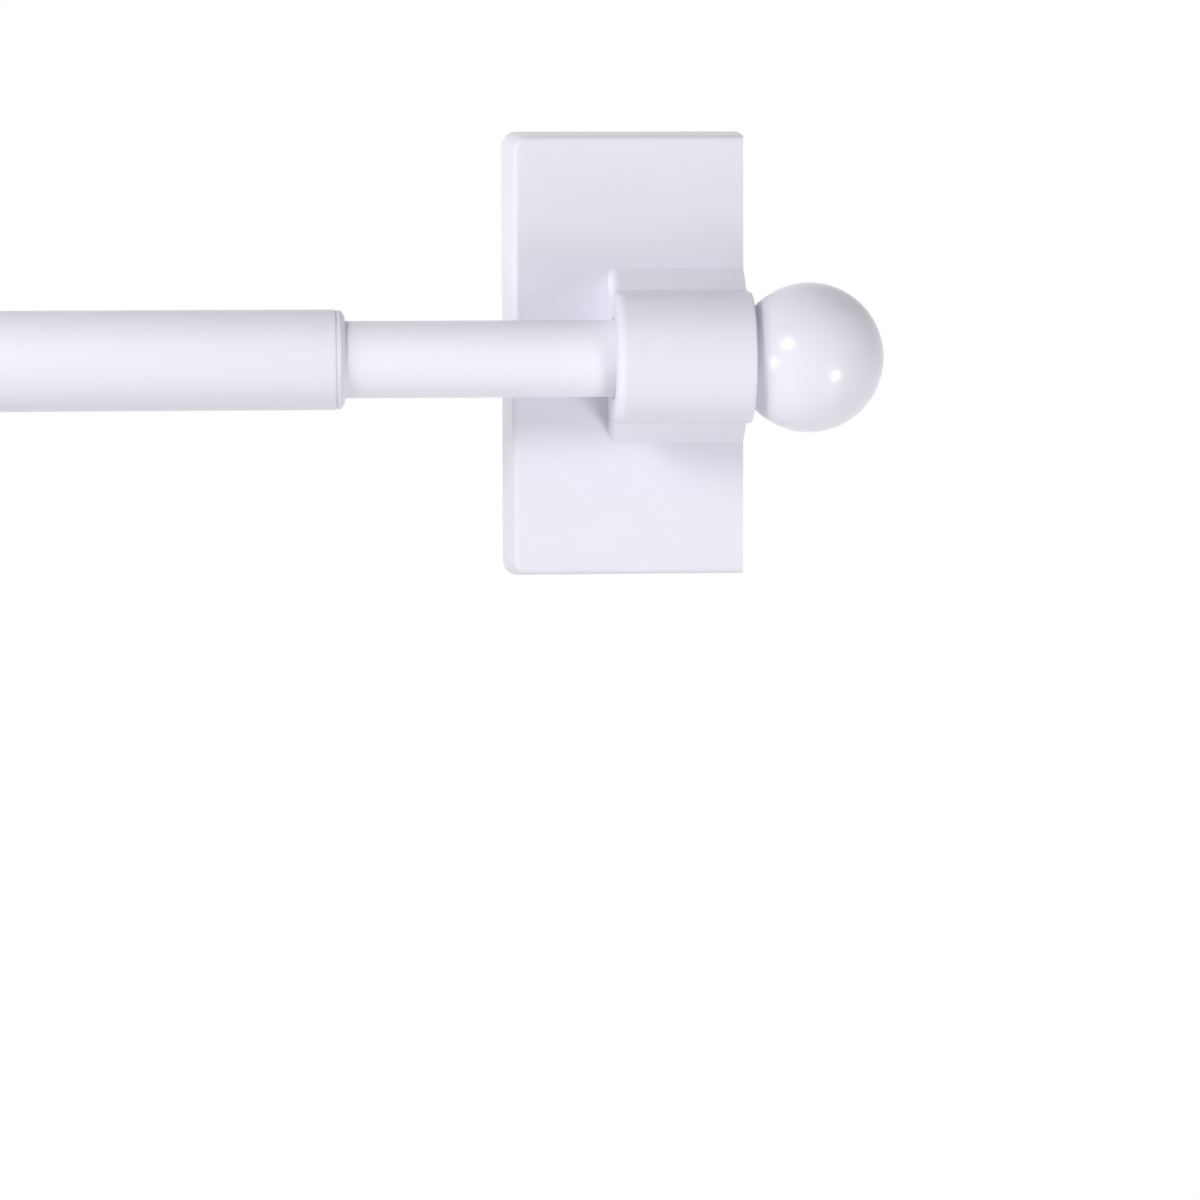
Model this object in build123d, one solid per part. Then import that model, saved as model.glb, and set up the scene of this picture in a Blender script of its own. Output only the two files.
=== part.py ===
from build123d import *
import os
from math import sqrt

# Magnetic bracket for a telescopic curtain rod, with the rod's end and its ball finial.
# Sizes are in millimetres. +X runs along the rod towards the finial, +Z is up and -Y faces
# the room. The origin is the middle of the face that clings to the steel.

# Bracket plate
plate_width = 30.5
plate_height = 57.8
side_flare = 1.1
end_flare = 0.7
corner_radius = 2.0
front_edge_radius = 1.0
back_edge_radius = 0.4
front_wall = 1.7
rim_wall = 0.9
ledge_width = 1.0

# Socket on the plate
socket_length = 17.95
socket_wall = 3.57
side_trim = 0.25
wall_draft = 0.3
bore_floor = 4.7
flank_spread = 2.8
flank_rise = 4.0
crease_radius = 1.4
mouth_edge_radius = 1.3
rim_edge_radius = 0.4
bore_lead_in = 0.3
socket_root = 0.8

# Magnets, keepers, cover and pad inside and behind the plate
keeper_thickness = 1.0
magnet_thickness = 4.0
pocket_web = 5.0
pocket_corner_radius = 1.2
block_clearance = 0.1
cover_thickness = 1.4
cover_clearance = 0.1
peg_diameter = 2.0
peg_length = 3.0
peg_spacing = 16.0
peg_hole_spare = 0.3
pad_thickness = 0.4
pad_margin = 0.6

# Telescopic rod
inner_tube_diameter = 10.0
inner_tube_wall = 0.7
bare_inner_length = 34.85
tube_overlap = 50.0
tube_proud = 0.15
turn_clearance = 0.08
tube_gap = 0.7
outer_tube_wall = 0.8
outer_tube_tail = 42.0
tube_edge_radius = 0.3

# Ring in the outer tube's mouth and friction sleeve on the inner tube's hidden end
ring_land = 0.5
ring_nose = 0.65
ring_step = 0.1
ring_groove = 0.15
ring_nose_wall = 0.15
ring_nose_bulge = 0.1
ring_spigot = 6.0
ring_clearance = 0.08
sleeve_length = 11.0
sleeve_flange = 1.0
sleeve_end_gap = 0.05
sleeve_clearance = 0.06
sleeve_lead_in = 0.3
groove_width = 1.6
groove_depth = 0.3
groove_clearance = 0.1

# Ball finial
ball_diameter = 19.5
ball_cut = 2.39
ball_rim_radius = 0.5
finial_seat_gap = 0.05
stem_length = 12.0
stem_clearance = 0.05
stem_lead_in = 0.6
stem_slot_width = 1.4
stem_root = 3.0

# Radii that fit one piece to the next
inner_tube_radius = inner_tube_diameter / 2
inner_bore_radius = inner_tube_radius - inner_tube_wall
socket_bore_radius = inner_tube_radius + turn_clearance
socket_radius = socket_bore_radius + socket_wall
outer_bore_radius = inner_tube_radius + tube_gap
outer_tube_radius = outer_bore_radius + outer_tube_wall

# Depths behind and in front of the plate's face
rod_standoff = socket_bore_radius + bore_floor
body_depth = front_wall + keeper_thickness + magnet_thickness + cover_thickness
back_y = -pad_thickness
cover_front_y = back_y - cover_thickness
magnet_front_y = cover_front_y - magnet_thickness
front_y = back_y - body_depth
axis_y = front_y - rod_standoff

# Stations along the rod
plate_left = -plate_width / 2
plate_right = plate_width / 2
socket_left = plate_right - socket_length
ring_tip_x = socket_left - bare_inner_length
tube_mouth_x = ring_tip_x - ring_nose - ring_land
inner_far_x = tube_mouth_x - tube_overlap
outer_far_x = inner_far_x - outer_tube_tail
groove_x = inner_far_x + sleeve_length / 2
inner_near_x = plate_right + tube_proud
ball_flat_x = inner_near_x + finial_seat_gap

# Pockets for the magnets, one above and one below the web
side_wall = rim_wall + ledge_width
pocket_width = plate_width - 2 * side_wall
pocket_height = (plate_height - pocket_web) / 2 - side_wall
pocket_mid_z = (pocket_web + pocket_height) / 2

rod_line = Axis((0, axis_y, 0), (1, 0, 0))


def slab(section, back, depth):
    """Extrude a section drawn in X and Z forwards from the plane y = back."""
    return extrude(Plane.XZ.offset(-back) * section, depth)


def plate_outline(inset):
    """The plate's outline drawn in by an inset: round corners on the rod's side only."""
    outline = Rectangle(plate_width - 2 * inset, plate_height - 2 * inset)
    rounded = outline.vertices().sort_by(Axis.X)[:2]
    return fillet(rounded, max(corner_radius - inset, rim_wall / 2))


def block_section(clearance):
    """A magnet pocket's outline, drawn in by a clearance on every side."""
    return RectangleRounded(
        pocket_width - 2 * clearance,
        pocket_height - 2 * clearance,
        pocket_corner_radius - clearance,
    )


def rod_cylinder(radius, start, end):
    """A round bar on the rod's line from one station to another."""
    bar = Cylinder(radius, end - start, rotation=(0, 90, 0))
    return Pos((start + end) / 2, axis_y, 0) * bar


def turned(points):
    """A closed outline of station and radius points, turned about the rod's line."""
    corners = [(station, axis_y - radius) for station, radius in points]
    return revolve(make_face(Polyline(*corners, close=True)), rod_line)


def peg_places():
    """The two pegs' places on the web, left and right of the middle."""
    return [Pos(side * peg_spacing / 2, 0) for side in (-1, 1)]


def make_plate():
    """The plate's outer form: the side under the rod and both ends lean out towards the back."""
    plan = make_face(
        Polyline(
            (plate_left, front_y),
            (plate_right, front_y),
            (plate_right, back_y),
            (plate_left - side_flare, back_y),
            close=True,
        )
    )
    half_front = plate_height / 2
    half_back = half_front + end_flare
    profile = make_face(
        Polyline(
            (front_y, -half_front),
            (front_y, half_front),
            (back_y, half_back),
            (back_y, -half_back),
            close=True,
        )
    )
    plate = extrude(plan, half_back, both=True)
    plate &= extrude(Plane.YZ * profile, plate_width, both=True)
    left_face = plate.faces().sort_by(Axis.X)[0]
    corners = [edge for edge in left_face.edges() if abs(edge.center().Z) > plate_height / 4]
    plate = fillet(corners, corner_radius)
    front_face = plate.faces().sort_by(Axis.Y)[0]
    rim = [edge for edge in front_face.edges() if edge.center().X < plate_right - front_edge_radius]
    plate = fillet(rim, front_edge_radius)
    back_face = plate.faces().sort_by(Axis.Y)[-1]
    back_rim = [edge for edge in back_face.edges() if edge.center().X < plate_right - back_edge_radius]
    return fillet(back_rim, back_edge_radius)


def make_socket():
    """The socket: sloping flanks, slightly drawn-in walls and a round front about the rod's line."""
    half_width = socket_radius - side_trim
    half_waist = half_width + wall_draft
    half_base = half_waist + flank_spread
    root_y = front_y + socket_root
    flank_y = front_y - flank_rise
    shoulder_y = axis_y - sqrt(socket_radius**2 - half_width**2)
    lower = [
        (shoulder_y, -half_width),
        (flank_y, -half_waist),
        (front_y, -half_base),
        (root_y, -half_base),
    ]
    upper = [(y, -z) for y, z in reversed(lower)]
    nose = ThreePointArc(upper[-1], (axis_y - socket_radius, 0), lower[0])
    section = make_face([Polyline(*lower, *upper), nose])
    creases = [corner for corner in section.vertices() if abs(abs(corner.Y) - half_waist) < wall_draft / 2]
    section = fillet(creases, crease_radius)
    socket = extrude(Plane.YZ.offset(socket_left) * section, socket_length)
    mouth = socket.faces().sort_by(Axis.X)[0].edges()
    mouth_edges = [edge for edge in mouth if edge.center().Y < front_y]
    socket = fillet(mouth_edges, mouth_edge_radius)
    rim = socket.faces().sort_by(Axis.X)[-1].edges()
    rim_edges = [edge for edge in rim if edge.center().Y < shoulder_y]
    return fillet(rim_edges, rim_edge_radius)


def make_bracket_body():
    """One moulding: plate, socket and bore, with two magnet pockets and a rebate behind."""
    body = make_plate() + make_socket()
    body -= rod_cylinder(socket_bore_radius, socket_left, plate_right)
    lead_in = turned(
        [
            (socket_left, 0),
            (socket_left, socket_bore_radius + bore_lead_in),
            (socket_left + bore_lead_in, socket_bore_radius),
            (socket_left + bore_lead_in, 0),
        ]
    )
    body -= lead_in
    body -= slab(plate_outline(rim_wall), back_y, cover_thickness)
    for side in (-1, 1):
        pocket = Pos(0, side * pocket_mid_z) * block_section(0)
        body -= slab(pocket, cover_front_y, magnet_thickness + keeper_thickness)
    for place in peg_places():
        body -= slab(place * Circle(peg_diameter / 2), cover_front_y, peg_length + peg_hole_spare)
    return body


def make_keeper(side):
    """A steel keeper against the plate's front wall, above or below the web."""
    section = Pos(0, side * pocket_mid_z) * block_section(block_clearance)
    return slab(section, magnet_front_y, keeper_thickness)


def make_magnet(side):
    """A block magnet between its keeper and the cover."""
    section = Pos(0, side * pocket_mid_z) * block_section(block_clearance)
    return slab(section, cover_front_y, magnet_thickness)


def make_back_cover():
    """The cover in the body's rebate, with two pegs pressed into the web."""
    cover = slab(plate_outline(rim_wall + cover_clearance), back_y, cover_thickness)
    for place in peg_places():
        cover += slab(place * Circle(peg_diameter / 2), cover_front_y, peg_length)
    return cover


def make_grip_pad():
    """The thin pad stuck to the cover, which touches the steel."""
    return slab(plate_outline(rim_wall + pad_margin), 0, pad_thickness)


def make_inner_tube():
    """The rod's inner tube, grooved for the sleeve at its hidden end, to just past the socket."""
    groove_floor = inner_tube_radius - groove_depth
    return turned(
        [
            (inner_far_x, inner_bore_radius),
            (inner_far_x, inner_tube_radius),
            (groove_x - groove_width / 2, inner_tube_radius),
            (groove_x - groove_width / 2, groove_floor),
            (groove_x + groove_width / 2, groove_floor),
            (groove_x + groove_width / 2, inner_tube_radius),
            (inner_near_x, inner_tube_radius),
            (inner_near_x, inner_bore_radius),
        ]
    )


def make_friction_sleeve():
    """A plastic sleeve on the inner tube's hidden end: it turns on a bead in the tube's groove."""
    outside = outer_bore_radius - sleeve_clearance
    inside = inner_tube_radius + turn_clearance
    bead_radius = inside - groove_depth
    bead_half = groove_width / 2 - groove_clearance
    end_x = inner_far_x - sleeve_end_gap
    far = end_x - sleeve_flange
    near = inner_far_x + sleeve_length
    return turned(
        [
            (far, inner_bore_radius),
            (far, outside - sleeve_lead_in),
            (far + sleeve_lead_in, outside),
            (near - sleeve_lead_in, outside),
            (near, outside - sleeve_lead_in),
            (near, inside),
            (groove_x + bead_half, inside),
            (groove_x + bead_half, bead_radius),
            (groove_x - bead_half, bead_radius),
            (groove_x - bead_half, inside),
            (end_x, inside),
            (end_x, inner_bore_radius),
        ]
    )


def make_outer_tube():
    """The rod's outer tube, cut plainly at its far end."""
    tube = rod_cylinder(outer_tube_radius, outer_far_x, tube_mouth_x)
    tube = fillet(tube.edges().filter_by(GeomType.CIRCLE), tube_edge_radius)
    return tube - rod_cylinder(outer_bore_radius, outer_far_x, tube_mouth_x)


def make_mouth_ring():
    """The ring in the outer tube's mouth: a spigot, a land and a slightly round cone nose."""
    land_radius = outer_tube_radius - ring_step
    bore_radius = inner_tube_radius + ring_clearance
    tip_radius = bore_radius + ring_nose_wall
    land_end_x = tube_mouth_x + ring_land
    land_end = (land_end_x, axis_y - land_radius)
    tip = (ring_tip_x, axis_y - tip_radius)
    nose_middle = (
        (land_end_x + ring_tip_x) / 2 + ring_nose_bulge,
        axis_y - (land_radius + tip_radius) / 2 - ring_nose_bulge,
    )
    nose = ThreePointArc(land_end, nose_middle, tip)
    inside = Polyline(
        tip,
        (ring_tip_x, axis_y - bore_radius),
        (tube_mouth_x - ring_spigot, axis_y - bore_radius),
        (tube_mouth_x - ring_spigot, axis_y - outer_bore_radius),
        (tube_mouth_x, axis_y - outer_bore_radius),
        (tube_mouth_x, axis_y - land_radius + ring_groove),
        (tube_mouth_x + ring_groove, axis_y - land_radius),
        land_end,
    )
    return revolve(make_face([nose, inside]), rod_line)


def make_finial_ball():
    """The ball finial: a ball cut flat towards the socket, on a split stem for the tube."""
    ball_radius = ball_diameter / 2
    centre_x = ball_flat_x + ball_radius - ball_cut
    ball = Pos(centre_x, axis_y, 0) * Sphere(ball_radius)
    waste = Pos(ball_flat_x, axis_y, 0) * Box(
        ball_diameter,
        ball_diameter,
        ball_diameter,
        align=(Align.MAX, Align.CENTER, Align.CENTER),
    )
    ball -= waste
    ball = fillet(ball.edges().sort_by(Axis.X)[:1], ball_rim_radius)
    stem_radius = inner_bore_radius - stem_clearance
    tip_x = ball_flat_x - stem_length
    stem = turned(
        [
            (tip_x, 0),
            (tip_x, stem_radius - stem_lead_in),
            (tip_x + stem_lead_in, stem_radius),
            (ball_flat_x, stem_radius),
            (ball_flat_x, 0),
        ]
    )
    slot = Box(
        stem_length - stem_root,
        2 * stem_radius,
        stem_slot_width,
        align=(Align.MIN, Align.CENTER, Align.CENTER),
    )
    slot_place = Pos(tip_x, axis_y, 0)
    stem -= slot_place * slot
    stem -= slot_place * Rot(90, 0, 0) * slot
    return ball + stem


os.makedirs("parts", exist_ok=True)
export_step(make_bracket_body(), "parts/bracket_body.step")
export_step(make_keeper(1), "parts/keeper_upper.step")
export_step(make_keeper(-1), "parts/keeper_lower.step")
export_step(make_magnet(1), "parts/magnet_upper.step")
export_step(make_magnet(-1), "parts/magnet_lower.step")
export_step(make_back_cover(), "parts/back_cover.step")
export_step(make_grip_pad(), "parts/grip_pad.step")
export_step(make_inner_tube(), "parts/inner_tube.step")
export_step(make_friction_sleeve(), "parts/friction_sleeve.step")
export_step(make_outer_tube(), "parts/outer_tube.step")
export_step(make_mouth_ring(), "parts/mouth_ring.step")
export_step(make_finial_ball(), "parts/finial_ball.step")
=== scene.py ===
"""Looks of the magnetic curtain rod bracket: finishes, turned surfaces, camera and studio light."""

from __future__ import annotations

import logging
import math
from dataclasses import dataclass
from enum import Enum

import bmesh
import bpy
import numpy as np
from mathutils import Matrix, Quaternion, Vector

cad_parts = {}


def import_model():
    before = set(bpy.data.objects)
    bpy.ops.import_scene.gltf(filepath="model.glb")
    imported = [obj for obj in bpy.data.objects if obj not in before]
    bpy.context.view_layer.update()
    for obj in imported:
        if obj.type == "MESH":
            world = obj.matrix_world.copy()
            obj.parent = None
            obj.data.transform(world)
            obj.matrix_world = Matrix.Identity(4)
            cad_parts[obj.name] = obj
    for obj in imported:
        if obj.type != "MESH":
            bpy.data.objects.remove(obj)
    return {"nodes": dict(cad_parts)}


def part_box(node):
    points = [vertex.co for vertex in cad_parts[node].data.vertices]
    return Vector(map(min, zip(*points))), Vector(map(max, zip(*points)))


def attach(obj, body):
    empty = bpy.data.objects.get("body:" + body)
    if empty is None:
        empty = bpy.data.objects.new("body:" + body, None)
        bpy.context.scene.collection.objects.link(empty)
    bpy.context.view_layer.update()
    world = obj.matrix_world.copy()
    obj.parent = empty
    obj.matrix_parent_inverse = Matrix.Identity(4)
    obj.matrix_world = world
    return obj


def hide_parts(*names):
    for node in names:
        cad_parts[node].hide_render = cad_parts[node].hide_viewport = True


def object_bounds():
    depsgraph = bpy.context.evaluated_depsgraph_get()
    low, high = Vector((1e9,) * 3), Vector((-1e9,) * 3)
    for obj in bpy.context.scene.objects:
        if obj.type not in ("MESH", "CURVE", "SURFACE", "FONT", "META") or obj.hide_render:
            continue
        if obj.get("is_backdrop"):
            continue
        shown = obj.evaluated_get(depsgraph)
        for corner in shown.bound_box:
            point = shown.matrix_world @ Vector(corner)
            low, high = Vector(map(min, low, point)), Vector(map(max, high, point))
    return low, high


LOG = logging.getLogger("bracket")
MM = 0.001
IMAGE_PIXELS = 1200.0
TURN_STEPS = 160
SHARP_ANGLE = math.radians(28.0)
MERGE_DISTANCE = 0.0005 * MM
CORNER_STEPS = 6
BUMP_DEPTH = 0.05 * MM
GRAIN_DETAIL = 3.0
CLOUD_DETAIL = 2.0
GRAINS_PER_CLOUD = 14.0
RAMP_STOPS = (0.3, 0.7)
PURE_WHITE = (1.0, 1.0, 1.0, 1.0)
PALE_FLOOR = (0.9, 0.9, 0.9, 1.0)


class Grain(Enum):
    """The kinds of fine surface that the finishes show, with their noise cells per metre."""

    MOULD = 900.0
    PAINT = 420.0
    STIPPLE = 2600.0
    SINTER = 1700.0
    ROLLED = 700.0


@dataclass(frozen=True)
class Finish:
    """One surface finish: its colour, gloss, and fine grain.

    The colour drifts a little between two tones, the roughness varies about its mean,
    and a bump of the same grain breaks up the reflections.
    """

    name: str
    slot: str
    tone: tuple[float, float, float]
    drift: float
    roughness: float
    spread: float
    grain: Grain
    bump: float
    specular: float = 0.5
    metallic: float = 0.0
    coat: float = 0.0
    coat_roughness: float = 0.12
    stretch: tuple[float, float, float] = (1.0, 1.0, 1.0)

    def build(self) -> bpy.types.Material:
        """Make the material's nodes, or find them if another piece has the same finish.

        Returns:
            The finished material, on Object coordinates only.
        """
        found = bpy.data.materials.get(self.name)
        if found is not None:
            return found
        material = bpy.data.materials.new(self.name)
        material.use_nodes = True
        nodes = material.node_tree.nodes
        links = material.node_tree.links
        shader = nodes["Principled BSDF"]
        shader.inputs["Metallic"].default_value = self.metallic
        shader.inputs["Specular IOR Level"].default_value = self.specular
        shader.inputs["Coat Weight"].default_value = self.coat
        shader.inputs["Coat Roughness"].default_value = self.coat_roughness
        place = nodes.new("ShaderNodeTexCoord")
        turn = nodes.new("ShaderNodeMapping")
        turn.inputs["Scale"].default_value = self.stretch
        links.new(place.outputs["Object"], turn.inputs["Vector"])
        grain = self._noise(nodes, links, turn, self.grain.value, GRAIN_DETAIL)
        cloud = self._noise(nodes, links, turn, self.grain.value / GRAINS_PER_CLOUD, CLOUD_DETAIL)
        links.new(self._tones(nodes, links, cloud), shader.inputs["Base Color"])
        gloss = nodes.new("ShaderNodeMapRange")
        gloss.inputs["To Min"].default_value = self.roughness - self.spread
        gloss.inputs["To Max"].default_value = self.roughness + self.spread
        links.new(grain.outputs["Fac"], gloss.inputs["Value"])
        links.new(gloss.outputs["Result"], shader.inputs["Roughness"])
        relief = nodes.new("ShaderNodeBump")
        relief.inputs["Strength"].default_value = self.bump
        relief.inputs["Distance"].default_value = BUMP_DEPTH
        links.new(grain.outputs["Fac"], relief.inputs["Height"])
        links.new(relief.outputs["Normal"], shader.inputs["Normal"])
        return material

    def dress(self, piece: bpy.types.Object) -> None:
        """Give a piece this finish alone.

        Args:
            piece: The object whose material slots are set.
        """
        piece.data.materials.clear()
        piece.data.materials.append(self.build())

    @staticmethod
    def _noise(
        nodes: bpy.types.Nodes,
        links: bpy.types.NodeLinks,
        place: bpy.types.Node,
        scale: float,
        detail: float,
    ) -> bpy.types.Node:
        """Add one noise texture.

        Args:
            nodes: The material's nodes.
            links: The material's links.
            place: The node whose Vector output gives the coordinates.
            scale: Noise cells per metre.
            detail: Octaves of the noise.

        Returns:
            The noise node.
        """
        noise = nodes.new("ShaderNodeTexNoise")
        noise.inputs["Scale"].default_value = scale
        noise.inputs["Detail"].default_value = detail
        links.new(place.outputs["Vector"], noise.inputs["Vector"])
        return noise

    def _tones(
        self,
        nodes: bpy.types.Nodes,
        links: bpy.types.NodeLinks,
        cloud: bpy.types.Node,
    ) -> bpy.types.NodeSocket:
        """Add a ramp between a slightly darker and a slightly lighter tone.

        Args:
            nodes: The material's nodes.
            links: The material's links.
            cloud: The slow noise that picks the tone.

        Returns:
            The ramp's colour output.
        """
        ramp = nodes.new("ShaderNodeValToRGB")
        for element, stop, side in zip(ramp.color_ramp.elements, RAMP_STOPS, (-1.0, 1.0)):
            element.position = stop
            element.color = (*(min(c * (1.0 + side * self.drift), 1.0) for c in self.tone), 1.0)
        links.new(cloud.outputs["Fac"], ramp.inputs["Fac"])
        return ramp.outputs["Color"]


WHITE = (0.83, 0.83, 0.915)
MOULDED_WHITE = Finish(
    "satin_moulding", "moulded_white", WHITE, 0.006, 0.30, 0.03, Grain.MOULD, 0.08, specular=0.4
)
PAINTED_TUBE = Finish(
    "tube_paint", "painted_tube", WHITE, 0.008, 0.34, 0.04, Grain.PAINT, 0.10, stretch=(0.3, 1.0, 1.0)
)
INNER_PAINT = Finish(
    "inner_tube_paint", "painted_tube", (0.876, 0.876, 0.96), 0.008, 0.34, 0.04, Grain.PAINT, 0.10,
    stretch=(0.3, 1.0, 1.0),
)
BALL_WHITE = Finish(
    "ball_gloss", "finial_white", WHITE, 0.008, 0.26, 0.03, Grain.PAINT, 0.06, coat=0.25
)
# Painted shade: the ring's tone is set darker than the body's white so that its steep nose, which lies
# in shade, renders dark.
RING_SHADED_WHITE = Finish(
    "ring_moulding_painted_shade", "ring_white", (0.8, 0.8, 0.88), 0.008, 0.36, 0.04, Grain.MOULD, 0.1
)
COVER_WHITE = Finish(
    "matt_cover", "cover_white", (0.78, 0.78, 0.84), 0.01, 0.5, 0.05, Grain.STIPPLE, 0.25
)
GRIP_RUBBER = Finish(
    "stippled_rubber", "grip_rubber", (0.045, 0.045, 0.05), 0.12, 0.72, 0.08, Grain.STIPPLE, 0.6
)
KEEPER_STEEL = Finish(
    "rolled_steel", "keeper_steel", (0.55, 0.55, 0.56), 0.05, 0.34, 0.08, Grain.ROLLED, 0.2,
    metallic=1.0, stretch=(0.1, 1.0, 1.0),
)
FERRITE = Finish(
    "dark_ferrite", "ferrite", (0.035, 0.035, 0.04), 0.15, 0.6, 0.1, Grain.SINTER, 0.5
)
SLEEVE_WHITE = Finish(
    "plain_sleeve", "sleeve_plastic", (0.72, 0.72, 0.74), 0.01, 0.45, 0.05, Grain.MOULD, 0.15
)


def round_corner(
    before: np.ndarray, corner: np.ndarray, after: np.ndarray, radius: float, steps: int = CORNER_STEPS
) -> np.ndarray:
    """Round one corner of an outline.

    The arc touches both legs at radius / tan(half the corner's angle) from the corner. Its
    points go evenly through the arc's angle about the centre on the corner's bisector.

    Args:
        before: The outline's point ahead of the corner, station and radius.
        corner: The corner's own point.
        after: The point behind the corner.
        radius: The arc's radius.
        steps: Spans on the arc.

    Returns:
        The arc's points, steps + 1 rows.
    """
    back = (before - corner) / np.linalg.norm(before - corner)
    ahead = (after - corner) / np.linalg.norm(after - corner)
    half = 0.5 * math.acos(float(np.clip(back @ ahead, -1.0, 1.0)))
    bisector = (back + ahead) / np.linalg.norm(back + ahead)
    centre = corner + bisector * radius / math.sin(half)
    reach = radius / math.tan(half)
    start = np.arctan2(*((corner + back * reach - centre)[::-1]))
    end = np.arctan2(*((corner + ahead * reach - centre)[::-1]))
    sweep = (end - start + math.pi) % (2.0 * math.pi) - math.pi
    angles = start + sweep * np.linspace(0.0, 1.0, steps + 1)
    return centre + radius * np.column_stack((np.cos(angles), np.sin(angles)))


def rounded_outline(points: list[tuple[float, float]], radii: list[float]) -> np.ndarray:
    """Round the corners of a closed outline.

    Args:
        points: The outline's corners, station and radius.
        radii: Each corner's radius, 0 where it stays sharp.

    Returns:
        The outline's points in order, without the first one repeated.
    """
    corners = np.array(points, float)
    count = len(corners)
    runs = [
        round_corner(corners[i - 1], corners[i], corners[(i + 1) % count], radius)
        if radius > 0.0
        else corners[i : i + 1]
        for i, radius in enumerate(radii)
    ]
    return np.vstack(runs)


def arc_through(start: np.ndarray, middle: np.ndarray, end: np.ndarray, steps: int) -> np.ndarray:
    """Points on the circle through three points, evenly spaced from the first to the last.

    The centre is as far from the first point as from the other two, which gives two linear
    equations in its coordinates.

    Args:
        start: The arc's first point.
        middle: A point that the arc passes through.
        end: The arc's last point.
        steps: Spans on the arc.

    Returns:
        The arc's points, steps + 1 rows.
    """
    rows = 2.0 * np.vstack((middle - start, end - start))
    sides = np.array((middle @ middle - start @ start, end @ end - start @ start))
    centre = np.linalg.solve(rows, sides)
    first = np.arctan2(*((start - centre)[::-1]))
    last = np.arctan2(*((end - centre)[::-1]))
    sweep = (last - first + math.pi) % (2.0 * math.pi) - math.pi
    angles = first + sweep * np.linspace(0.0, 1.0, steps + 1)
    radius = np.linalg.norm(start - centre)
    return centre + radius * np.column_stack((np.cos(angles), np.sin(angles)))


def turned_grid(profile: np.ndarray, axis_y: float, closed: bool) -> tuple[np.ndarray, np.ndarray]:
    """Turn a profile about the rod's line.

    A point of station s and radius r goes to (s, axis_y - r cos t, r sin t) for t through a
    full turn, so the grid's rows are the profile's points and its columns the turn's steps.

    Args:
        profile: Station and radius of each profile point, in metres.
        axis_y: Where the rod's line lies.
        closed: Whether the last profile point joins the first, as round a tube's wall.

    Returns:
        The vertices and the quads' vertex numbers.
    """
    turn = np.linspace(0.0, 2.0 * math.pi, TURN_STEPS, endpoint=False)
    station, radius = profile[:, :1], profile[:, 1:]
    points = np.stack(
        (
            np.broadcast_to(station, (len(profile), TURN_STEPS)),
            axis_y - radius * np.cos(turn),
            radius * np.sin(turn),
        ),
        axis=-1,
    )
    rows = np.arange(len(profile) if closed else len(profile) - 1)
    columns = np.arange(TURN_STEPS)
    row, column = (a.ravel() for a in np.meshgrid(rows, columns, indexing="ij"))
    next_row = (row + 1) % len(profile)
    next_column = (column + 1) % TURN_STEPS
    quads = np.column_stack(
        (
            row * TURN_STEPS + column,
            row * TURN_STEPS + next_column,
            next_row * TURN_STEPS + next_column,
            next_row * TURN_STEPS + column,
        )
    )
    return points.reshape(-1, 3), quads


def mesh_object(name: str, points: np.ndarray, faces: list[list[int]]) -> bpy.types.Object:
    """Make a closed, outward, smooth-shaded object with its sharp edges marked.

    Args:
        name: The object's name.
        points: Its vertices, in metres.
        faces: Its faces as vertex numbers.

    Returns:
        The object, at the origin.
    """
    data = bpy.data.meshes.new(name)
    data.from_pydata(points, [], faces)
    shape = bmesh.new()
    shape.from_mesh(data)
    bmesh.ops.remove_doubles(shape, verts=shape.verts, dist=MERGE_DISTANCE)
    bmesh.ops.recalc_face_normals(shape, faces=shape.faces)
    for edge in shape.edges:
        edge.smooth = edge.calc_face_angle(math.pi) < SHARP_ANGLE
    shape.to_mesh(data)
    shape.free()
    data.polygons.foreach_set("use_smooth", np.ones(len(data.polygons), bool))
    piece = bpy.data.objects.new(name, data)
    bpy.context.scene.collection.objects.link(piece)
    return piece


def stand_for(piece: bpy.types.Object, node: str, body: str, finish: Finish) -> None:
    """Put a new piece in a CAD node's place.

    Args:
        piece: The new piece.
        node: The CAD node that it stands for.
        body: The body that it rides on.
        finish: Its finish.
    """
    finish.dress(piece)
    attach(piece, body)
    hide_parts(node)
    LOG.info("%s stands for %s, %d faces", piece.name, node, len(piece.data.polygons))


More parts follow.
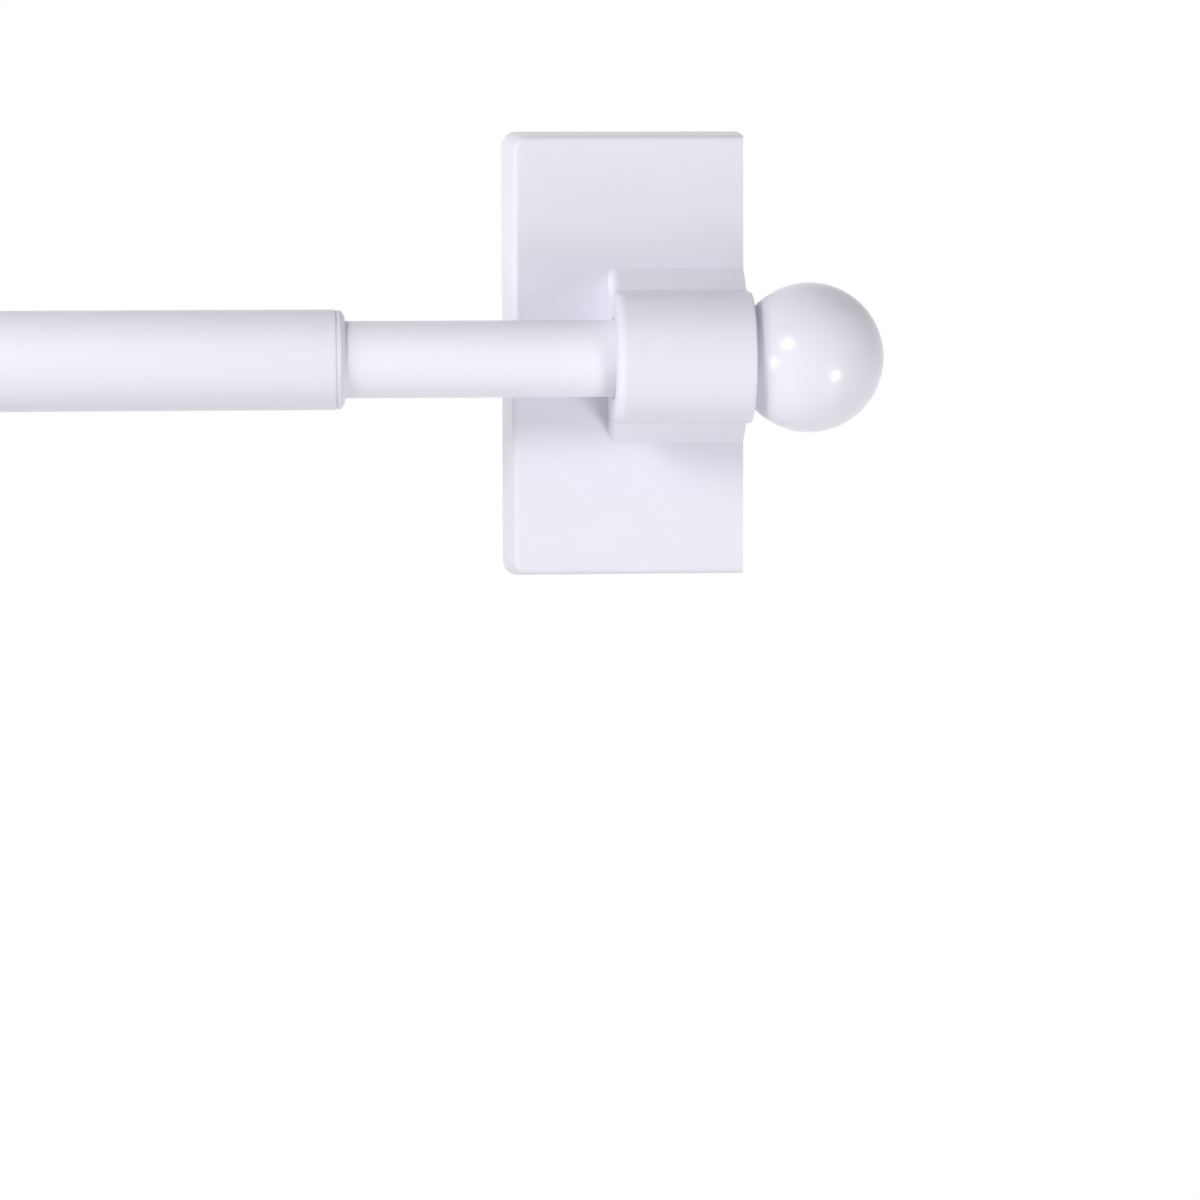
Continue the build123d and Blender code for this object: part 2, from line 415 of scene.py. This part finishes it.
@dataclass
class TelescopicRod:
    """The rod's two tubes and the ring in the wider tube's mouth."""

    axis_y: float
    inner_wall: float = 0.7 * MM
    groove_width: float = 1.6 * MM
    groove_depth: float = 0.3 * MM
    groove_set_back: float = 5.5 * MM
    outer_wall: float = 0.8 * MM
    rim_round: float = 0.3 * MM
    bore_round: float = 0.08 * MM
    ring_land: float = 0.5 * MM
    ring_clearance: float = 0.08 * MM
    ring_groove: float = 0.15 * MM
    nose_wall: float = 0.15 * MM
    nose_bulge: float = 0.1 * MM
    nose_steps: int = 10

    def build(self) -> None:
        """Make the three pieces and put them in their nodes' places."""
        stand_for(self.inner_tube(), "inner_tube", "rod", INNER_PAINT)
        stand_for(self.outer_tube(), "outer_tube", "outer", PAINTED_TUBE)
        stand_for(self.mouth_ring(), "mouth_ring", "outer", RING_SHADED_WHITE)

    def inner_tube(self) -> bpy.types.Object:
        """Turn the thin tube: its wall's section, with the sleeve's groove near the far end."""
        low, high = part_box("inner_tube")
        outside = (high.z - low.z) / 2.0
        bore = outside - self.inner_wall
        middle = low.x + self.groove_set_back
        groove_left = middle - self.groove_width / 2.0
        groove_right = middle + self.groove_width / 2.0
        floor = outside - self.groove_depth
        outline = rounded_outline(
            [
                (low.x, bore),
                (low.x, outside),
                (groove_left, outside),
                (groove_left, floor),
                (groove_right, floor),
                (groove_right, outside),
                (high.x, outside),
                (high.x, bore),
            ],
            [0.0, self.bore_round, 0.0, 0.0, 0.0, 0.0, self.bore_round, self.bore_round],
        )
        return mesh_object("rod_inner_tube", *self._turned(outline))

    def outer_tube(self) -> bpy.types.Object:
        """Turn the wide tube: a plain wall with its outer rims rounded at both ends."""
        low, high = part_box("outer_tube")
        outside = (high.z - low.z) / 2.0
        bore = outside - self.outer_wall
        outline = rounded_outline(
            [(low.x, bore), (low.x, outside), (high.x, outside), (high.x, bore)],
            [self.bore_round, self.rim_round, self.rim_round, 0.0],
        )
        return mesh_object("rod_outer_tube", *self._turned(outline))

    def mouth_ring(self) -> bpy.types.Object:
        """Turn the mouth's ring: a spigot in the tube, a land, and an arc for its cone nose."""
        low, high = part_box("mouth_ring")
        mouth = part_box("outer_tube")[1].x
        inner_low, inner_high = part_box("inner_tube")
        outer_low, outer_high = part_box("outer_tube")
        land = (high.z - low.z) / 2.0
        bore = (inner_high.z - inner_low.z) / 2.0 + self.ring_clearance
        spigot = (outer_high.z - outer_low.z) / 2.0 - self.outer_wall
        tip = bore + self.nose_wall
        land_end = mouth + self.ring_land
        nose_start = np.array((land_end, land))
        nose_end = np.array((high.x, tip))
        nose_middle = (nose_start + nose_end) / 2.0 + self.nose_bulge
        nose = arc_through(nose_start, nose_middle, nose_end, self.nose_steps)
        inside = np.array(
            [
                (high.x, bore),
                (low.x, bore),
                (low.x, spigot),
                (mouth, spigot),
                (mouth, land - self.ring_groove),
                (mouth + self.ring_groove, land),
            ]
        )
        return mesh_object("rod_mouth_ring", *self._turned(np.vstack((nose, inside))))

    def _turned(self, outline: np.ndarray) -> tuple[np.ndarray, list[list[int]]]:
        """Turn a closed outline about the rod's line, with its quads as a list."""
        points, quads = turned_grid(outline, self.axis_y, closed=True)
        return points, quads.tolist()


@dataclass
class BallFinial:
    """The ball with its flat towards the socket, and the split stem that grips the tube."""

    axis_y: float
    ball_cut: float = 2.39 * MM
    rim_round: float = 0.5 * MM
    stem_radius: float = 4.25 * MM
    stem_root: float = 3.0 * MM
    lead_in: float = 0.6 * MM
    slot_width: float = 1.4 * MM
    prongs: int = 4
    ball_steps: int = 72
    rim_steps: int = 6
    prong_arc_steps: int = 24
    prong_sink: float = 0.02 * MM

    def build(self) -> None:
        """Make the finial and put it in its node's place."""
        ball_points, ball_quads = turned_grid(self.ball_profile(), self.axis_y, closed=False)
        points = [ball_points]
        faces = ball_quads.tolist()
        start = len(ball_points)
        for number in range(self.prongs):
            prong_points, prong_faces = self.prong(number * self.share())
            points.append(prong_points)
            faces += [[start + corner for corner in face] for face in prong_faces]
            start += len(prong_points)
        stand_for(mesh_object("finial", np.vstack(points), faces), "finial_ball", "finial", BALL_WHITE)

    def share(self) -> float:
        """The angle of the full turn that each prong has, with half a slot on each side."""
        return 2.0 * math.pi / self.prongs

    def flat_x(self) -> float:
        """The station of the ball's flat: the cut's depth in from the whole ball's left pole."""
        low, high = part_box("finial_ball")
        return high.x - (high.z - low.z) + self.ball_cut

    def ball_profile(self) -> np.ndarray:
        """The profile from the stem's root over the flat and its round rim to the ball's pole.

        The rim's arc has its centre one rim radius behind the flat and at the ball's radius
        less the rim's from the ball's centre, so it touches both.

        Returns:
            Station and radius of the profile's points.
        """
        low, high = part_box("finial_ball")
        radius = (high.z - low.z) / 2.0
        centre = high.x - radius
        flat = self.flat_x()
        rim_back = centre - flat - self.rim_round
        rim_height = math.sqrt((radius - self.rim_round) ** 2 - rim_back**2)
        touch = math.atan2(rim_height, -rim_back)
        rim_angles = np.linspace(math.pi, touch, self.rim_steps + 1)
        rim = np.column_stack(
            (
                flat + self.rim_round + self.rim_round * np.cos(rim_angles),
                rim_height + self.rim_round * np.sin(rim_angles),
            )
        )
        ball_angles = np.linspace(touch, 0.0, self.ball_steps + 1)[1:]
        ball = np.column_stack((centre + radius * np.cos(ball_angles), radius * np.sin(ball_angles)))
        root = flat - self.stem_root
        stem = np.array([(root, 0.0), (root, self.stem_radius), (flat, self.stem_radius)])
        return np.vstack((stem, rim, ball))

    def prong(self, turn: float) -> tuple[np.ndarray, list[list[int]]]:
        """One of the stem's prongs: its share of a round bar, less half a slot on each side.

        The section at outer radius r runs along one slot's wall, round the arc of radius r, and
        back along the other slot's wall. Stations carry it from the chamfered tip to the root.

        Args:
            turn: The prong's angle about the rod's line.

        Returns:
            The vertices and the faces, with both ends closed.
        """
        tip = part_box("finial_ball")[0].x
        stations = np.array((tip, tip + self.lead_in, self.flat_x() - self.stem_root + self.prong_sink))
        radii = np.array((self.stem_radius - self.lead_in, self.stem_radius, self.stem_radius))
        half = self.slot_width / 2.0
        first = np.arcsin(half / radii)[:, None]
        sweep = self.share() - 2.0 * first
        angles = first + sweep * np.linspace(0.0, 1.0, self.prong_arc_steps + 1)
        corner = np.full((len(stations), 1), half)
        across = np.concatenate((corner, radii[:, None] * np.cos(angles)), axis=1)
        above = np.concatenate((corner, radii[:, None] * np.sin(angles)), axis=1)
        spans = len(stations) - 1
        count = across.shape[1]
        points = np.stack(
            (
                np.broadcast_to(stations[:, None], across.shape),
                self.axis_y + across * math.cos(turn) - above * math.sin(turn),
                across * math.sin(turn) + above * math.cos(turn),
            ),
            axis=-1,
        ).reshape(-1, 3)
        row, column = (a.ravel() for a in np.meshgrid(np.arange(spans), np.arange(count), indexing="ij"))
        ahead = (column + 1) % count
        start = row * count
        end = start + count
        sides = np.column_stack((start + column, start + ahead, end + ahead, end + column))
        ring = np.arange(count)
        return points, [*sides.tolist(), ring.tolist(), (ring + spans * count).tolist()]


@dataclass
class MagnetPlate:
    """The moulded plate with its socket, and what is hidden in and behind it."""

    fair_angle: float = math.radians(24.0)
    face_weight: int = 100

    def build(self, nodes: dict[str, bpy.types.Object]) -> None:
        """Dress the nodes whose own shape is shown.

        Args:
            nodes: The frame's CAD nodes by name.
        """
        finishes = {
            "bracket_body": MOULDED_WHITE,
            "back_cover": COVER_WHITE,
            "grip_pad": GRIP_RUBBER,
            "keeper_upper": KEEPER_STEEL,
            "keeper_lower": KEEPER_STEEL,
            "magnet_upper": FERRITE,
            "magnet_lower": FERRITE,
            "friction_sleeve": SLEEVE_WHITE,
        }
        for name, finish in finishes.items():
            self.fair(nodes[name])
            finish.dress(nodes[name])
            LOG.info("dressed %s, %d faces", name, len(nodes[name].data.polygons))

    def fair(self, node: bpy.types.Object) -> None:
        """Shade a node's round faces smoothly and leave its edges crisp.

        Args:
            node: The CAD node's object, whose vertices stay as they are.
        """
        node.data.polygons.foreach_set("use_smooth", np.ones(len(node.data.polygons), bool))
        weld = node.modifiers.new("weld", "WELD")
        weld.merge_threshold = MERGE_DISTANCE
        split = node.modifiers.new("crisp_edges", "EDGE_SPLIT")
        split.split_angle = self.fair_angle
        normals = node.modifiers.new("even_normals", "WEIGHTED_NORMAL")
        normals.weight = self.face_weight


@dataclass(frozen=True)
class Lamp:
    """One round soft light.

    Tilt is its angle off the view's axis and turn its angle about that axis, from the right
    and upwards first. Level is the share of white that it gives to a white surface that faces
    it, and spread is the angle that it fills, seen from the object. A lamp that doesn't shine
    lights the form and leaves no highlight.
    """

    name: str
    tilt: float
    turn: float
    spread: float
    level: float
    shines: bool = False
    reach: float = 0.5


class StudioLamp(Enum):
    """The lamps of the studio."""

    KEY_LEFT = Lamp("key_left", 36.6, 150.0, 16.0, 0.13, shines=True)
    KEY_RIGHT = Lamp("key_right", 51.0, 325.0, 13.0, 0.165, shines=True)
    KEY_LOW = Lamp("key_low", 55.5, 190.0, 14.0, 0.11, shines=True)
    UPPER_LEFT = Lamp("upper_left", 36.0, 147.0, 22.0, 0.26)
    LEFT_UPPER = Lamp("left_upper", 57.0, 150.0, 30.0, 0.17)
    UPPER = Lamp("upper", 34.0, 90.0, 30.0, 0.045)
    LOWER = Lamp("lower", 62.0, 303.0, 20.0, 0.20)
    RIGHT = Lamp("right", 75.0, 330.0, 30.0, 0.085)
    RIGHT_LOW = Lamp("right_low", 36.0, 325.0, 13.0, 0.085)
    LEFT_SIDE = Lamp("left_side", 78.0, 168.0, 16.0, 0.05)
    LEFT_BACK = Lamp("left_back", 95.0, 210.0, 30.0, 0.24)
    BACK = Lamp("back", 168.0, 90.0, 40.0, 0.35)


@dataclass
class Studio:
    """Camera, lights, floor and world, placed by the photograph's view of the plate."""

    azimuth: float = -4.24
    elevation: float = 5.08
    roll: float = -0.14
    distance: float = 0.6
    frame_width: float = 158.52 * MM
    plate_pixel: tuple[float, float] = (628.3, 355.7)
    plate_front: float = -8.5 * MM
    sensor: float = 36.0
    clip_near: float = 0.05
    clip_far: float = 40.0
    floor_drop: float = 0.6
    floor_half: float = 20.0
    fill_level: float = 0.20

    def back(self) -> Vector:
        """The unit direction from the object towards the camera."""
        a = math.radians(self.azimuth)
        e = math.radians(self.elevation)
        return Vector((math.sin(a) * math.cos(e), -math.cos(a) * math.cos(e), math.sin(e)))

    def upright(self) -> Quaternion:
        """The turn of a camera that looks along the view without a roll."""
        return (-self.back()).to_track_quat("-Z", "Y")

    def middle(self) -> Vector:
        """The middle of the plate's front face."""
        return Vector((0.0, self.plate_front, 0.0))

    def camera(self) -> None:
        """Make the scene's camera so that the plate's front middle lands on its pixel."""
        back = self.back()
        turn = self.upright() @ Quaternion((0.0, 0.0, 1.0), math.radians(self.roll))
        right = turn @ Vector((1.0, 0.0, 0.0))
        up = turn @ Vector((0.0, 1.0, 0.0))
        pixel = self.frame_width / IMAGE_PIXELS
        across = (self.plate_pixel[0] - IMAGE_PIXELS / 2.0) * pixel
        above = (IMAGE_PIXELS / 2.0 - self.plate_pixel[1]) * pixel
        target = self.middle() - right * across - up * above
        data = bpy.data.cameras.new("camera")
        data.sensor_width = self.sensor
        data.lens = self.sensor * self.distance / self.frame_width
        data.clip_start = self.clip_near
        data.clip_end = self.clip_far
        camera = bpy.data.objects.new("camera", data)
        camera.location = target + back * self.distance
        camera.rotation_mode = "QUATERNION"
        camera.rotation_quaternion = turn
        bpy.context.scene.collection.objects.link(camera)
        bpy.context.scene.camera = camera

    def lamp(self, lamp: Lamp) -> None:
        """Hang one lamp.

        A lamp's power of level times pi squared times its distance squared gives a white
        surface that faces it that level.

        Args:
            lamp: The lamp's facts.
        """
        tilt = math.radians(lamp.tilt)
        turn = math.radians(lamp.turn)
        aside = Vector((math.cos(turn), math.sin(turn), 0.0)) * math.sin(tilt)
        direction = self.back() * math.cos(tilt) + self.upright() @ aside
        data = bpy.data.lights.new(lamp.name, "AREA")
        data.shape = "DISK"
        data.size = 2.0 * lamp.reach * math.tan(math.radians(lamp.spread) / 2.0)
        data.energy = lamp.level * (math.pi * lamp.reach) ** 2
        light = bpy.data.objects.new(lamp.name, data)
        light.location = self.middle() + direction * lamp.reach
        light.rotation_mode = "QUATERNION"
        light.rotation_quaternion = direction.to_track_quat("Z", "Y")
        light.visible_camera = False
        light.visible_glossy = lamp.shines
        bpy.context.scene.collection.objects.link(light)
        LOG.info("lamp %s at level %.2f", lamp.name, lamp.level)

    def world(self) -> None:
        """Fill the world with an even light, which shows as white behind the object."""
        world = bpy.data.worlds.new("world")
        bpy.context.scene.world = world
        world.use_nodes = True
        nodes = world.node_tree.nodes
        links = world.node_tree.links
        fill = nodes["Background"]
        fill.inputs["Color"].default_value = PURE_WHITE
        fill.inputs["Strength"].default_value = self.fill_level
        white = nodes.new("ShaderNodeBackground")
        white.inputs["Color"].default_value = PURE_WHITE
        mix = nodes.new("ShaderNodeMixShader")
        links.new(seen_directly(nodes, links), mix.inputs["Fac"])
        links.new(fill.outputs["Background"], mix.inputs[1])
        links.new(white.outputs["Background"], mix.inputs[2])
        links.new(mix.outputs["Shader"], nodes["World Output"].inputs["Surface"])

    def floor(self, lowest: float) -> None:
        """Lay a plain pale floor well below the object.

        Args:
            lowest: The object's lowest height, in metres.
        """
        height = lowest - self.floor_drop
        side = self.floor_half
        corners = np.array([(-side, -side), (side, -side), (side, side), (-side, side)])
        points = np.column_stack((corners, np.full(4, height)))
        data = bpy.data.meshes.new("floor")
        data.from_pydata(points, [], [[0, 1, 2, 3]])
        floor = bpy.data.objects.new("floor", data)
        bpy.context.scene.collection.objects.link(floor)
        floor.data.materials.append(self.floor_finish())
        floor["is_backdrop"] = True

    @staticmethod
    def floor_finish() -> bpy.types.Material:
        """The floor's paint: pale and matt, white where it is looked at, clear from below.

        Returns:
            The floor's material.
        """
        material = bpy.data.materials.new("pale_floor")
        material.use_nodes = True
        nodes = material.node_tree.nodes
        links = material.node_tree.links
        paint = nodes.new("ShaderNodeBsdfDiffuse")
        paint.inputs["Color"].default_value = PALE_FLOOR
        white = nodes.new("ShaderNodeEmission")
        clear = nodes.new("ShaderNodeBsdfTransparent")
        seen = nodes.new("ShaderNodeMixShader")
        links.new(seen_directly(nodes, links), seen.inputs["Fac"])
        links.new(paint.outputs["BSDF"], seen.inputs[1])
        links.new(white.outputs["Emission"], seen.inputs[2])
        below = nodes.new("ShaderNodeMixShader")
        side = nodes.new("ShaderNodeNewGeometry")
        links.new(side.outputs["Backfacing"], below.inputs["Fac"])
        links.new(seen.outputs["Shader"], below.inputs[1])
        links.new(clear.outputs["BSDF"], below.inputs[2])
        links.new(below.outputs["Shader"], nodes["Material Output"].inputs["Surface"])
        return material


def seen_directly(nodes: bpy.types.Nodes, links: bpy.types.NodeLinks) -> bpy.types.NodeSocket:
    """Add nodes that tell rays that see the background, straight or mirrored, from those that light.

    Args:
        nodes: The nodes of the world or the floor.
        links: Their links.

    Returns:
        A value of 1 for camera, glossy and transmission rays, and 0 for others.
    """
    path = nodes.new("ShaderNodeLightPath")
    total = path.outputs["Is Camera Ray"]
    for kind in ("Is Glossy Ray", "Is Transmission Ray"):
        either = nodes.new("ShaderNodeMath")
        either.operation = "MAXIMUM"
        links.new(total, either.inputs[0])
        links.new(path.outputs[kind], either.inputs[1])
        total = either.outputs["Value"]
    return total


def main() -> None:
    """Load the frame, dress every piece, and set the studio."""
    logging.basicConfig(level=logging.INFO, format="%(name)s: %(message)s")
    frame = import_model()
    cad_box = [list(corner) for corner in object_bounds()]
    tube_low, tube_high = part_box("inner_tube")
    axis_y = (tube_low.y + tube_high.y) / 2.0
    MagnetPlate().build(frame["nodes"])
    TelescopicRod(axis_y).build()
    BallFinial(axis_y).build()
    studio = Studio()
    studio.camera()
    for lamp in StudioLamp:
        studio.lamp(lamp.value)
    studio.world()
    studio.floor(cad_box[0][2])
    bpy.context.scene.view_settings.view_transform = "Standard"


if __name__ == "__main__":
    main()
